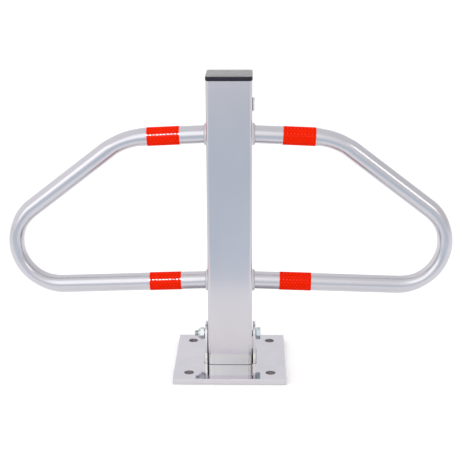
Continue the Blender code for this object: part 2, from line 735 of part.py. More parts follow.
def make_lock_rod():
    profile = [
        (0, ROD_TOP),
        (ROD_RADIUS - MM, ROD_TOP),
        (ROD_RADIUS, ROD_TOP - MM),
        (ROD_RADIUS, ROD_TIP + ROD_TIP_CHAMFER),
        (ROD_RADIUS - ROD_TIP_CHAMFER, ROD_TIP),
        (0, ROD_TIP),
    ]
    part = turned("lock_rod", profile, (0, ROD_BACK, 0), "bright_steel", axis="Z", sides=20)
    combine(part, yoke_pin_hole("rod_pin_hole"))


def yoke_centre():
    return LOCK_HEIGHT + DRIVE_PIN_OFFSET


def yoke_pin_hole(name):
    at = (ROD_BACK, yoke_centre())
    return rod(name, YOKE_PIN_RADIUS + GAP, -POST_SIDE, POST_SIDE, cutter=True, at=at, sides=12)


def make_rod_yoke():
    """The collar on the rod, with the slotted arm that the cam's drive pin works in. The slot is
    wide enough for the pin's path, which isn't quite in step with the rod's."""
    low = yoke_centre() - YOKE_HEIGHT / 2
    high = low + YOKE_HEIGHT
    part = rod(
        "rod_yoke", YOKE_COLLAR_RADIUS, low, high, axis="Z", material="bright_steel", at=(0, ROD_BACK)
    )
    front = DRIVE_PIN_OFFSET - DRIVE_PIN_RADIUS - 3.5 * MM
    half = YOKE_THICKNESS / 2
    arm = box("yoke_arm", (-half, front, low + MM / 2), (half, ROD_BACK, high - MM / 2), cutter=True)
    slot_half = DRIVE_PIN_RADIUS + SLOT_CLEARANCE
    slot = box(
        "yoke_slot",
        (-POST_HALF, DRIVE_PIN_OFFSET - slot_half, yoke_centre() - slot_half),
        (POST_HALF, CAM_RADIUS + slot_half - GAP, yoke_centre() + slot_half),
        cutter=True,
    )
    bore = rod("yoke_bore", ROD_RADIUS + GAP, 0, POST_TOP, axis="Z", cutter=True, at=(0, ROD_BACK))
    combine(part, arm, "UNION")
    combine(part, slot)
    combine(part, bore)
    combine(part, yoke_pin_hole("yoke_pin_hole"))
    reach = YOKE_COLLAR_RADIUS
    at = (ROD_BACK, yoke_centre())
    rod("yoke_pin", YOKE_PIN_RADIUS, -reach, reach, material="bright_steel", at=at, sides=12)


# ---------------------------------------------------------------------------------------- all


def hang_moving_pieces():
    """The post turns on the hinge, and carries the lock, the rod and the cover on their own axes."""
    hinge = Vector((0, 0, HINGE_HEIGHT))
    fixed_to_post = ["post_tube", "hinge_sleeve", *GUIDE_HEIGHTS, "left_wing", "right_wing"]
    fixed_to_post += [*WING_WELDS, *BAND_PLACES, "top_cap"]
    fixed_to_post += ["lock_housing", "lock_gasket", "lock_nut", "cover_rivet"]
    post = hang("post_axis", hinge, fixed_to_post)
    lock = Vector((CAM_FACE, 0, LOCK_HEIGHT))
    plug = hang("lock_axis", lock, ["lock_plug", "lock_cam", "cam_screw"])
    slide = hang("rod_axis", Vector((0, ROD_BACK, ROD_TIP)), ["lock_rod", "rod_yoke", "yoke_pin"])
    swing = Vector((BEZEL_FACE, 0, LOCK_HEIGHT + RIVET_RISE))
    cover = hang("cover_axis", swing, ["dust_cover"])
    for empty in (plug, slide, cover):
        empty.parent = post
        empty.matrix_parent_inverse = Matrix.Translation(hinge).inverted()


clear_scene()
make_materials()
make_base_plate()
make_lugs()
make_lug_welds()
make_hinge_bolt()
make_hinge_nut()
make_washers()
make_post_tube()
make_hinge_sleeve()
make_rod_guides()
make_top_cap()
make_wings()
make_wing_welds()
make_bands()
make_lock_housing()
make_lock_nut()
make_lock_plug()
make_lock_cam()
make_cam_screw()
make_dust_cover()
make_lock_rod()
make_rod_yoke()
hang_moving_pieces()
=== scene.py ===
import json
import math

import bmesh
import bpy
from mathutils import Matrix, Vector

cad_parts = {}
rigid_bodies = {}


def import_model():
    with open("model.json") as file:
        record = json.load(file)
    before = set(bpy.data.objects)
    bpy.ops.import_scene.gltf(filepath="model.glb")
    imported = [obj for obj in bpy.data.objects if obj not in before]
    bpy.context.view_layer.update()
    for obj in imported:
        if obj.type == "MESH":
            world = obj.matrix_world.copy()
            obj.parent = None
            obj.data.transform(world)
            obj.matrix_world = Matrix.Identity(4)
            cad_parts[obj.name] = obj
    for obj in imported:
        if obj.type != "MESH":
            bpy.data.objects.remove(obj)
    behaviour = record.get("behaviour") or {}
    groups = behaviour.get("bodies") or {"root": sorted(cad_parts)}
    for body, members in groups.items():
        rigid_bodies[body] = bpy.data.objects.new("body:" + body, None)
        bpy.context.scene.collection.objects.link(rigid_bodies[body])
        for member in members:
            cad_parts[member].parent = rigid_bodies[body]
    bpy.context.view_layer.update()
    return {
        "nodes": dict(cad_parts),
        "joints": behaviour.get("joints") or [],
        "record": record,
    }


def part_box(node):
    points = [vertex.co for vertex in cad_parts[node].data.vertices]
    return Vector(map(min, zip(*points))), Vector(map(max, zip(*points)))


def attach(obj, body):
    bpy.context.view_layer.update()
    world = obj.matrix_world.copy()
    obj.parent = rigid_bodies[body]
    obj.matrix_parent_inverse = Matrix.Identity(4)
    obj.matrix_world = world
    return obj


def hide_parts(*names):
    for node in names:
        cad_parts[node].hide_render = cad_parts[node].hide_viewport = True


MM = 0.001

# The camera stands in front, a little to the right, and looks down at the post.
CAMERA_PLACE = (0.0361, -1.626, 0.7305)
CAMERA_PITCH = 0.3017
CAMERA_YAW = -0.0222
CAMERA_ROLL = -0.0051
SENSOR_WIDTH = 36.0
LENS = 84.79

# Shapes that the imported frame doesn't state
POST_CORNER = 6 * MM
POST_WALL = 3 * MM
SWING_RADIUS = 39.4 * MM
TUBE_RADIUS = 14 * MM
UPPER_LEG_SLOPE = math.radians(2.5)
LOWER_LEG_SLOPE = math.radians(1.75)
DIAGONAL_SLOPE = math.radians(37.4)
SHOULDER_RADIUS = 109 * MM
ELBOW_RADIUS = 70.2 * MM
SHOULDER_SQUASH = 0.05
ELBOW_SQUASH = 0.15
SPREAD = 0.6
PLATE_EDGE = 0.8 * MM
ANCHOR_RADIUS = 7.5 * MM
ANCHOR_SPACING = 128 * MM
ROD_HOLE_RADIUS = 6.5 * MM
BOLT_RADIUS = 5 * MM
THREAD_PITCH = 1.5 * MM
THREAD_DEPTH = 0.85 * MM
THREAD_SIDES = 48
HEX_ACROSS_FLATS = 17 * MM
HEX_SIDES = 96
HEX_CROWN = 0.97  # the flat face's width, as a share of the distance across flats
HEX_CHAMFER = math.radians(30)
LUG_SHOULDER = 26 * MM
LUG_TOP_RADIUS = 20 * MM
LUG_EDGE = 0.35 * MM
SLEEVE_RADIUS = 8 * MM
GAP = 0.3 * MM
SHARP_ANGLE = 32  # degrees between faces, above which an edge isn't smoothed

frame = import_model()
joints = {joint["name"]: joint for joint in frame["joints"]}
HINGE = Vector(joints["post_fold"]["pos_m"])
LOCK = Vector(joints["lock_turn"]["pos_m"])
COVER = Vector(joints["cover_swing"]["pos_m"])
POST_LOW, POST_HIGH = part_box("post_tube")
POST_HALF = POST_HIGH.x
PLATE_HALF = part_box("base_plate")[1].x
LUG_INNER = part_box("right_lug")[0].x
LUG_FOOT_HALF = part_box("right_lug")[1].y

# Painted shade in the gaps at the foot of the post, and a painted reflection of the plate on its foot
# painted shade: a near-black colour for the gaps beside the post's foot, and the height it reaches on the
# post
PAINTED_SHADE = (0.030, 0.028, 0.028)
PAINTED_SHADE_ROUGHNESS = 0.6
# painted reflection of the plate on the post's foot: the height where it ends, and the height over which it
# fades
POST_FOOT_REFLECTION = 30 * MM
POST_FOOT_REFLECTION_FADE = 4 * MM
POST_SHADE_TOP = 28 * MM

# Reflective tape, with its cells in staggered rows and its gloss in columns
BANDS = ("left_upper_band", "left_lower_band", "right_upper_band", "right_lower_band")
TAPE_PITCH = 5.4 * MM
TAPE_ROWS = 20
TAPE_ROW = 2 * math.pi * TUBE_RADIUS / TAPE_ROWS
TAPE_RELIEF = 0.02 * MM
TAPE_GLOSS = 0.2
TAPE_DOT = 0.2  # half of a glossy column's width, as a share of the pitch
TAPE_THICKNESS = 0.35 * MM
LAP_TURN = math.radians(20)
LAP_WIDTH = math.radians(14)
LAP_RISE = 0.15 * MM

# The studio
CARD_FADE = 1.2
SKY = 1.06
SKY_LEFT = (1.11, 1.11, 1.12)
SKY_RIGHT = (0.80, 0.80, 0.81)
LIGHT_AIM = (0, 0, 0.25)

MIX_FIRST, MIX_SECOND, MIX_RESULT = 6, 7, 2  # a Mix node's sockets when it mixes colours


# ------------------------------------------------------------------------------- materials


class Finish:
    """A procedural material: a Principled shader, and short calls that add texture nodes to it."""

    def __init__(self, name, colour, roughness, metallic=0.0):
        self.material = bpy.data.materials.new(name)
        self.material.use_nodes = True
        self.tree = self.material.node_tree
        self.shader = self.tree.nodes["Principled BSDF"]
        self.set("Base Color", (*colour, 1))
        self.set("Roughness", roughness)
        self.set("Metallic", metallic)
        self.bumps = []

    def set(self, socket, value):
        self.shader.inputs[socket].default_value = value

    def node(self, kind, **settings):
        node = self.tree.nodes.new(kind)
        for name, value in settings.items():
            setattr(node, name, value)
        return node

    def link(self, output, entry):
        self.tree.links.new(output, entry)

    def math(self, operation, first, second=0.0):
        node = self.node("ShaderNodeMath", operation=operation)
        for entry, value in zip(node.inputs, (first, second)):
            if isinstance(value, (int, float)):
                entry.default_value = value
            else:
                self.link(value, entry)
        return node.outputs[0]

    def place(self, stretch=(1, 1, 1)):
        """Coordinates in metres that move with the piece, stretched along its axes."""
        coordinates = self.node("ShaderNodeTexCoord")
        mapping = self.node("ShaderNodeMapping")
        mapping.inputs["Scale"].default_value = stretch
        self.link(coordinates.outputs["Object"], mapping.inputs["Vector"])
        return mapping.outputs["Vector"]

    def noise(self, scale, detail=4.0, stretch=(1, 1, 1), distortion=0.0):
        node = self.node("ShaderNodeTexNoise")
        node.inputs["Scale"].default_value = scale
        node.inputs["Detail"].default_value = detail
        node.inputs["Distortion"].default_value = distortion
        self.link(self.place(stretch), node.inputs["Vector"])
        return node.outputs["Fac"]

    def crystals(self, scale):
        """A random grey for each crystal of a cell pattern."""
        node = self.node("ShaderNodeTexVoronoi", feature="F1")
        node.inputs["Scale"].default_value = scale
        self.link(self.place(), node.inputs["Vector"])
        grey = self.node("ShaderNodeSeparateColor")
        self.link(node.outputs["Color"], grey.inputs["Color"])
        return grey.outputs["Red"]

    def span(self, value, low, high, start=0.35, end=0.65):
        """A value from a texture, stretched from start..end to low..high."""
        node = self.node("ShaderNodeMapRange")
        for name, number in (("From Min", start), ("From Max", end), ("To Min", low), ("To Max", high)):
            node.inputs[name].default_value = number
        self.link(value, node.inputs["Value"])
        return node.outputs["Result"]

    def blend(self, factor, first, second):
        """Mixes two colours, each an (r, g, b) or an output, by a texture's value."""
        node = self.node("ShaderNodeMix", data_type="RGBA")
        self.link(factor, node.inputs["Factor"])
        for entry, value in ((node.inputs[MIX_FIRST], first), (node.inputs[MIX_SECOND], second)):
            if isinstance(value, tuple):
                entry.default_value = (*value, 1)
            else:
                self.link(value, entry)
        return node.outputs[MIX_RESULT]

    def axes(self):
        """The piece's own X, Y and Z, in metres."""
        node = self.node("ShaderNodeSeparateXYZ")
        self.link(self.place(), node.inputs[0])
        return node.outputs[:]

    def over(self, value, edge):
        return self.math("GREATER_THAN", value, edge)

    def under(self, value, edge):
        return self.math("LESS_THAN", value, edge)

    def all_of(self, *masks):
        result = masks[0]
        for mask in masks[1:]:
            result = self.math("MULTIPLY", result, mask)
        return result

    def distance(self, first, second):
        squares = self.math("MULTIPLY", first, first), self.math("MULTIPLY", second, second)
        return self.math("SQRT", self.math("ADD", *squares))

    def tint(self, output):
        self.link(output, self.shader.inputs["Base Color"])

    def recolour(self, mask, colour):
        """Changes the colour where a mask is 1."""
        self.tint(self.blend(mask, self.shader.inputs["Base Color"].links[0].from_socket, colour))

    def paint_shade(self, mask, colour):
        """Paints shade where a mask is 1: a dark colour, and a dull, rough surface."""
        self.recolour(mask, colour)
        rough = self.shader.inputs["Roughness"].links[0].from_socket
        self.rough(self.math("MAXIMUM", rough, self.math("MULTIPLY", mask, PAINTED_SHADE_ROUGHNESS)))

    def rough(self, output):
        self.link(output, self.shader.inputs["Roughness"])

    def relief(self, output, depth, strength=1.0):
        """Adds a bump this deep, in metres, on top of those already there."""
        bump = self.node("ShaderNodeBump")
        bump.inputs["Strength"].default_value = strength
        bump.inputs["Distance"].default_value = depth
        self.link(output, bump.inputs["Height"])
        if self.bumps:
            self.link(self.bumps[-1], bump.inputs["Normal"])
        self.bumps.append(bump.outputs["Normal"])
        self.link(bump.outputs["Normal"], self.shader.inputs["Normal"])


def shade(colour, factor):
    return tuple(min(1.0, channel * factor) for channel in colour)


def satin_zinc(name, colour, roughness, grain, cloud=14, spangle=0.35):
    """Galvanised steel: soft clouds, faint crystals and a fine rolling grain along the piece."""
    finish = Finish(name, colour, roughness, metallic=1.0)
    clouds = finish.noise(cloud, detail=3.0, stretch=grain[0], distortion=0.6)
    crystals = finish.crystals(150)
    streaks = finish.noise(1.0, detail=3.0, stretch=grain[1])
    base = finish.blend(finish.span(clouds, 0, 1), shade(colour, 0.97), shade(colour, 1.03))
    base = finish.blend(finish.span(crystals, 0, spangle, 0, 1), base, shade(colour, 0.97))
    finish.tint(base)
    worn = finish.math("ADD", finish.span(clouds, -0.02, 0.02), finish.span(streaks, -0.01, 0.01))
    worn = finish.math("ADD", worn, finish.span(crystals, -0.02 * spangle, 0.02 * spangle, 0, 1))
    finish.rough(finish.math("ADD", worn, roughness))
    finish.relief(streaks, 0.0003 * MM)
    return finish


def make_materials():
    """Every material by its slot name. A grain is how clouds and streaks stretch along a piece."""
    upright = ((1, 1, 0.3), (900, 900, 18))
    across = ((0.5, 1, 1), (90, 300, 90))
    flat = ((1, 1, 1), (260, 260, 260))
    made = {
        "galvanised_post": post_zinc(upright),
        "galvanised_tube": satin_zinc("galvanised_tube", (0.545, 0.535, 0.57), 0.225, across, spangle=0.1),
        "lug_steel": lug_steel(flat),
        "bright_steel": satin_zinc("bright_steel", (0.55, 0.55, 0.56), 0.34, flat),
        "weld_metal": satin_zinc("weld_metal", (0.53, 0.52, 0.55), 0.34, flat, cloud=180),
        "polished_plate": polished_plate(),
        "zinc_plate": bright_zinc(),
        "reflective_red": reflective_tape(),
        "black_plastic": moulded(
            "black_plastic", (0.010, 0.009, 0.015), 0.16, 0.003, 900, specular=(0.88, 0.86, 1.0)
        ),
        "white_nylon": moulded("white_nylon", (0.78, 0.79, 0.80), 0.42, 0.006, 600),
        "black_rubber": moulded("black_rubber", (0.018, 0.018, 0.018), 0.68, 0.02, 1500),
        "lock_chrome": machined("lock_chrome", (0.84, 0.84, 0.86), 0.09),
        "lock_brass": machined("lock_brass", (0.74, 0.56, 0.28), 0.24),
    }
    return {name: finish.material for name, finish in made.items()}


def post_zinc(grain):
    """The post's zinc, with painted shade where its foot turns between the lugs, and a painted reflection
    of the plate on its foot.
    """
    finish = satin_zinc("galvanised_post", (0.565, 0.548, 0.58), 0.20, grain)
    along, across, up = finish.axes()
    reach = finish.math("ABSOLUTE", along)
    aside = finish.over(reach, POST_HALF - 0.2 * MM)
    rise = finish.math("SUBTRACT", up, HINGE.z)
    between = finish.all_of(aside, finish.under(finish.distance(across, rise), LUG_TOP_RADIUS))
    low_corner = finish.all_of(finish.over(reach, POST_HALF - 0.9 * MM), finish.under(up, POST_SHADE_TOP))
    # painted reflection: the plate's greenish reflection, painted on the foot of the post
    foot = finish.span(up, 1, 0, POST_FOOT_REFLECTION - POST_FOOT_REFLECTION_FADE, POST_FOOT_REFLECTION)
    finish.recolour(foot, (0.635, 0.645, 0.62))
    # painted shade: the post's sides between the lugs, and its low corners, are painted near black where
    # the gaps are in shade
    finish.paint_shade(between, PAINTED_SHADE)
    finish.paint_shade(low_corner, PAINTED_SHADE)
    return finish


def lug_steel(grain):
    """The lugs' zinc, with a painted highlight along its front and back edges, and painted shade on its
    inner faces.
    """
    finish = satin_zinc("lug_steel", (0.56, 0.55, 0.575), 0.20, grain)
    along, across, _ = finish.axes()
    inner = finish.under(finish.math("ABSOLUTE", along), LUG_INNER + 0.5 * MM)
    # painted highlight: a pale cream band along the lug's front and back edges
    edge = finish.over(finish.math("ABSOLUTE", across), LUG_FOOT_HALF - 0.3 * MM)
    finish.recolour(edge, (0.78, 0.76, 0.70))
    # painted shade: the inner faces, in the gap beside the post, are painted near black
    finish.paint_shade(inner, PAINTED_SHADE)
    return finish


def polished_plate():
    """Near-mirror zinc with ground edges, with painted shade in its drilled holes and below the post."""
    colour = (0.59, 0.572, 0.62)
    finish = Finish("polished_plate", colour, 0.07, metallic=1.0)
    haze = finish.noise(9, detail=5.0, distortion=1.2)
    fine = finish.noise(1.0, detail=2.0, stretch=(25, 700, 700))
    finish.tint(finish.blend(finish.span(haze, 0, 1), shade(colour, 0.96), shade(colour, 1.03)))
    finish.rough(finish.math("ADD", finish.span(haze, 0.05, 0.09), finish.span(fine, -0.01, 0.01)))
    finish.relief(fine, 0.0002 * MM)
    along, across, _ = finish.axes()
    along = finish.math("ABSOLUTE", along)
    across = finish.math("ABSOLUTE", across)
    rim = finish.over(finish.math("MAXIMUM", along, across), PLATE_HALF - 0.4 * MM)
    finish.recolour(rim, (0.63, 0.62, 0.65))
    aside = finish.math("SUBTRACT", along, ANCHOR_SPACING / 2)
    ahead = finish.math("SUBTRACT", across, ANCHOR_SPACING / 2)
    # painted shade: the walls of the anchor holes are painted dark
    finish.paint_shade(finish.under(finish.distance(aside, ahead), ANCHOR_RADIUS + 0.1 * MM), (0.44, 0.41, 0.42))
    # painted shade: the plate under the post and in the gaps beside it is painted dark
    below = finish.all_of(finish.under(along, LUG_INNER), finish.under(across, POST_HALF - 4 * MM))
    finish.paint_shade(below, (0.32, 0.315, 0.305))
    return finish


def bright_zinc():
    """Bright zinc with faint bluish patches, and a painted highlight that makes it paler on the left, where
    the nut is.
    """
    finish = Finish("zinc_plate", (0.45, 0.52, 0.54), 0.26, metallic=1.0)
    patches = finish.noise(260, detail=2.0, distortion=0.8)
    fine = finish.noise(2600, detail=2.0)
    finish.tint(finish.blend(finish.span(patches, 0, 1), (0.36, 0.455, 0.49), (0.50, 0.545, 0.55)))
    # painted highlight: the left side, with the nut and its washer, is painted paler
    finish.recolour(finish.under(finish.axes()[0], 0), (0.57, 0.60, 0.61))
    finish.rough(finish.math("ADD", finish.span(patches, 0.22, 0.30), finish.span(fine, -0.03, 0.03)))
    finish.relief(fine, 0.006 * MM)
    return finish


def moulded(name, colour, roughness, grain_mm, scale, specular=(1, 1, 1)):
    """Plastic or rubber with a moulded grain this deep, its highlights tinted if asked."""
    finish = Finish(name, colour, roughness)
    finish.set("Specular Tint", (*specular, 1))
    finish.set("IOR", 1.42)
    grain = finish.noise(scale, detail=3.0)
    flow = finish.noise(40, detail=2.0, distortion=1.5)
    finish.tint(finish.blend(finish.span(flow, 0, 1), shade(colour, 0.86), shade(colour, 1.14)))
    finish.rough(finish.math("ADD", finish.span(flow, -0.05, 0.05), roughness))
    finish.relief(grain, grain_mm * MM)
    return finish


def machined(name, colour, roughness):
    """Turned or plated metal with fine marks round its axis."""
    finish = Finish(name, colour, roughness, metallic=1.0)
    fine = finish.noise(1.0, detail=2.0, stretch=(3000, 300, 300))
    flow = finish.noise(220, detail=2.0)
    finish.tint(finish.blend(finish.span(flow, 0, 1), shade(colour, 0.93), shade(colour, 1.05)))
    finish.rough(finish.math("ADD", finish.span(fine, -0.03, 0.03), roughness))
    finish.relief(fine, 0.002 * MM)
    return finish


def reflective_tape():
    """Prismatic tape in the band's own coordinates: X runs along the tube.

    Its cells stand in staggered rows round the tube. Its gloss is in narrow columns, so that a lamp's
    glint along the tube breaks up into dots."""
    finish = Finish("reflective_red", (0.9, 0.05, 0.015), 0.30)
    finish.set("Specular IOR Level", 0.0)
    finish.set("Coat Roughness", 0.18)
    along, across, up = finish.axes()
    turn = finish.math("ARCTAN2", up, across)
    row = finish.math("MULTIPLY", finish.math("ADD", turn, math.pi), TAPE_ROWS / (2 * math.pi))
    shift = finish.math("MULTIPLY", finish.math("FLOOR", row), 0.5)
    column = finish.math("ADD", finish.math("DIVIDE", along, TAPE_PITCH), shift)
    side = finish.math("SUBTRACT", finish.math("FRACT", column), 0.5)
    rise = finish.math("SUBTRACT", finish.math("FRACT", row), 0.5)
    reach = finish.distance(side, finish.math("MULTIPLY", rise, TAPE_ROW / TAPE_PITCH))
    cell = finish.span(reach, 1, 0, 0.12, 0.40)
    finish.tint(finish.blend(cell, (0.68, 0.009, 0.0), (0.80, 0.022, 0.002)))
    strip = finish.math("FRACT", finish.math("DIVIDE", along, TAPE_PITCH))
    dot = finish.under(finish.math("ABSOLUTE", finish.math("SUBTRACT", strip, 0.5)), TAPE_DOT)
    finish.link(finish.math("MULTIPLY", dot, TAPE_GLOSS), finish.shader.inputs["Coat Weight"])
    finish.relief(cell, TAPE_RELIEF, 0.5)
    return finish


# ------------------------------------------------------------------------------- shapes


def circle(radius, along, sides, centre):
    """A ring of points about X, this far along it, round a (Y, Z) centre."""
    turns = [2 * math.pi * i / sides for i in range(sides)]
    return [(along, centre[0] + radius * math.cos(t), centre[1] + radius * math.sin(t)) for t in turns]


def arc(centre, radius, start, end, steps):
    """Points round a centre in a plane, from one angle to another, in degrees."""
    turns = [math.radians(start + (end - start) * i / steps) for i in range(steps + 1)]
    return [(centre[0] + radius * math.cos(t), centre[1] + radius * math.sin(t)) for t in turns]


def smooth_mesh(bm, name, angle=SHARP_ANGLE):
    """A shaded mesh from a BMesh, with its sharp edges marked."""
    mesh = bpy.data.meshes.new(name)
    bmesh.ops.recalc_face_normals(bm, faces=bm.faces)
    bm.to_mesh(mesh)
    bm.free()
    mesh.shade_smooth()
    mesh.set_sharp_from_angle(angle=math.radians(angle))
    return mesh


def skin(name, rings, closed=False, angle=SHARP_ANGLE):
    """A mesh through rings of points, all of one count. It closes on itself or is capped."""
    bm = bmesh.new()
    rows = [[bm.verts.new(point) for point in ring] for ring in rings]
    for row, following in zip(rows, rows[1:] + rows[:1] if closed else rows[1:]):
        for i in range(len(row)):
            j = (i + 1) % len(row)
            bm.faces.new((row[i], row[j], following[j], following[i]))
    if not closed:
        bm.faces.new(rows[0])
        bm.faces.new(rows[-1])
    return smooth_mesh(bm, name, angle)


def lathe(name, profile, centre, sides=64, closed=False):
    """A piece turned about X from (radius, distance along X) points."""
    return skin(name, [circle(r, along, sides, centre) for r, along in profile], closed)


def sheet_metal(name, outlines, start, end, edge, axis):
    """A flat piece with eased edges across X or Z, from closed outlines: its rim, then its holes."""
    curve = bpy.data.curves.new(name, "CURVE")
    curve.dimensions = "2D"
    curve.fill_mode = "BOTH"
    curve.bevel_depth = edge
    curve.bevel_resolution = 2
    curve.offset = -edge
    curve.extrude = (end - start) / 2 - edge
    for outline in outlines:
        spline = curve.splines.new("POLY")
        spline.points.add(len(outline) - 1)
        for point, (across, up) in zip(spline.points, outline):
            point.co = (across, up, 0, 1)
        spline.use_cyclic_u = True
    turn = Matrix.Rotation(math.pi / 2, 4, "Z") @ Matrix.Rotation(math.pi / 2, 4, "X")
    middle = (start + end) / 2
    place = Matrix.Translation((middle, 0, 0)) @ turn if axis == "X" else Matrix.Translation((0, 0, middle))
    obj = bpy.data.objects.new(name, curve)
    bpy.context.scene.collection.objects.link(obj)
    mesh = evaluated(obj)
    bpy.data.objects.remove(obj)
    mesh.transform(place)
    bm = bmesh.new()
    bm.from_mesh(mesh)
    bmesh.ops.remove_doubles(bm, verts=bm.verts, dist=0.001 * MM)
    return smooth_mesh(bm, name, angle=20)


def evaluated(obj):
    """A new mesh from an object with its curve or modifiers worked out."""
    bpy.context.view_layer.update()
    return bpy.data.meshes.new_from_object(obj.evaluated_get(bpy.context.evaluated_depsgraph_get()))


def carve(mesh, *cutters):
    """A mesh with others cut out of it."""
    scene = bpy.context.scene.collection.objects
    body = bpy.data.objects.new("carved", mesh)
    scene.link(body)
    tools = []
    for cutter in cutters:
        tool = bpy.data.objects.new("carver", cutter)
        scene.link(tool)
        tools.append(tool)
        boolean = body.modifiers.new("carve", "BOOLEAN")
        boolean.operation = "DIFFERENCE"
        boolean.solver = "EXACT"
        boolean.object = tool
    result = evaluated(body)
    for obj in [body, *tools]:
        bpy.data.objects.remove(obj)
    result.name = mesh.name
    result.shade_smooth()
    result.set_sharp_from_angle(angle=math.radians(SHARP_ANGLE))
    return result


def show(node, mesh, body, slot, place=None):
    """Puts a detailed piece in place of a CAD node."""
    piece = bpy.data.objects.new(f"{node}_detail", mesh)
    bpy.context.scene.collection.objects.link(piece)
    if place is not None:
        piece.matrix_world = place
    mesh.materials.clear()
    mesh.materials.append(materials[slot])
    flat = piece.modifiers.new("flat_faces", "WEIGHTED_NORMAL")
    flat.keep_sharp = True
    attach(piece, body)
    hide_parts(node)
    return piece


def rounded_square(half, corner, height, steps=10):
    """A square ring with round corners, at a height."""
    inner = half - corner
    points = []
    for turn, (x, y) in enumerate([(1, 1), (-1, 1), (-1, -1), (1, -1)]):
        start = 90 * turn
        points += arc((x * inner, y * inner), corner, start, start + 90, steps)
    return [(x, y, height) for x, y in points]


# ------------------------------------------------------------------------------- foot


def base_plate():
    """The plate with its four anchor holes and the hole that the lock's rod drops into."""
    low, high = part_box("base_plate")
    rim = [(low.x, low.y), (high.x, low.y), (high.x, high.y), (low.x, high.y)]
    rod_low, rod_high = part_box("lock_rod")
    rod_back = (rod_low.y + rod_high.y) / 2
    half = ANCHOR_SPACING / 2
    holes = [arc((x * half, y * half), ANCHOR_RADIUS, 0, 354, 59) for x in (-1, 1) for y in (-1, 1)]
    seat = arc((0, rod_back), ROD_HOLE_RADIUS, 0, 354, 59)
    mesh = sheet_metal("base_plate", [rim, *holes, seat], low.z, high.z, PLATE_EDGE, "Z")
    show("base_plate", mesh, "base", "polished_plate")


def lugs():
    """Upright plates with a round top, tapering from the shoulders to it."""
    for node in ("left_lug", "right_lug"):
        low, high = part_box(node)
        rise = HINGE.z - LUG_SHOULDER
        reach = math.hypot(high.y, rise)
        touch = math.degrees(math.acos(LUG_TOP_RADIUS / reach) - math.atan2(rise, high.y))
        top = arc((0, HINGE.z), LUG_TOP_RADIUS, touch, 180 - touch, 40)
        rim = [(low.y, low.z), (high.y, low.z), (high.y, LUG_SHOULDER), *top, (low.y, LUG_SHOULDER)]
        hole = arc((0, HINGE.z), BOLT_RADIUS + GAP, 0, 352.5, 47)
        mesh = sheet_metal(node, [rim, hole], low.x, high.x, LUG_EDGE, "X")
        show(node, mesh, "base", "lug_steel")


def ripple(turn, seed):
    """The height of a weld bead's ripples, from 0 to 1, a little uneven."""
    uneven = 0.5 + 0.5 * math.sin(3.1 * turn + seed) * math.sin(1.7 * turn + 2 * seed)
    wave = abs(math.sin(turn))
    return 0.35 * uneven + 0.65 * (1 - wave * wave)


def lug_welds():
    """A rippled bead along the foot of each lug, thinner at its ends."""
    steps = 150
    ripples = 62
    squareness = 0.9
    quarter = [math.radians(angle) for angle in range(0, 90, 10)]
    bead = [(math.cos(angle) ** squareness, math.sin(angle) ** squareness) for angle in quarter]
    bead.append((0, 1))
    for node in ("left_lug_weld", "right_lug_weld"):
        low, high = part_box(node)
        side = 1 if high.x > 0 else -1
        inner = low.x if side > 0 else high.x
        size = high.x - low.x
        rings = []
        for i in range(steps + 1):
            share = i / steps
            along = low.y + share * (high.y - low.y)
            ends = min(1, 9 * min(share, 1 - share) + 0.35)
            bulge = ends * (0.80 + 0.20 * ripple(share * ripples, side))
            ring = [(inner + side * size * bulge * c, along, low.z + size * bulge * s) for c, s in bead]
            rings.append([(inner, along, low.z), *ring])
        show(node, skin(node, rings, angle=50), "base", "weld_metal")


def hexagon(along, flats, round_to=None):
    """A hexagonal ring about the hinge axis with a flat on top, cut to a circle if asked."""
    ring = []
    for i in range(HEX_SIDES):
        turn = 2 * math.pi * i / HEX_SIDES
        within = (turn + math.pi / 6 - math.pi / 2) % (math.pi / 3) - math.pi / 6
        radius = flats / 2 / math.cos(within)
        if round_to:
            radius = min(radius, round_to)
        ring.append((along, HINGE.y + radius * math.cos(turn), HINGE.z + radius * math.sin(turn)))
    return ring


def hex_end(face, flats, outward):
    """Rings from a hexagon's side to its face, with the round chamfer that a turned hexagon has."""
    crown = flats / 2 * HEX_CROWN
    edge = []
    for x, y, z in hexagon(face, flats):
        radius = math.hypot(y - HINGE.y, z - HINGE.z)
        edge.append((x - outward * max(0, radius - crown) * math.tan(HEX_CHAMFER), y, z))
    return [edge, hexagon(face, flats, round_to=crown)]


def thread(start, end, radius, centre):
    """Rings of a screw thread about X, run out to a chamfer at its start."""
    rows_a_turn = 8
    chamfer = 1.3 * MM
    rows = int((end - start) / THREAD_PITCH * rows_a_turn)
    rings = []
    for row in range(rows + 1):
        along = start + (end - start) * row / rows
        lead_in = max(0.0, chamfer - (along - start))
        ring = []
        for i in range(THREAD_SIDES):
            turn = 2 * math.pi * i / THREAD_SIDES
            phase = (along / THREAD_PITCH + i / THREAD_SIDES) % 1
            depth = THREAD_DEPTH * min(1.0, max(0.0, (abs(2 * phase - 1) - 0.12) / 0.72))
            reach = min(radius - depth, radius - lead_in)
            ring.append((along, centre[0] + reach * math.cos(turn), centre[1] + reach * math.sin(turn)))
        rings.append(ring)
    return rings


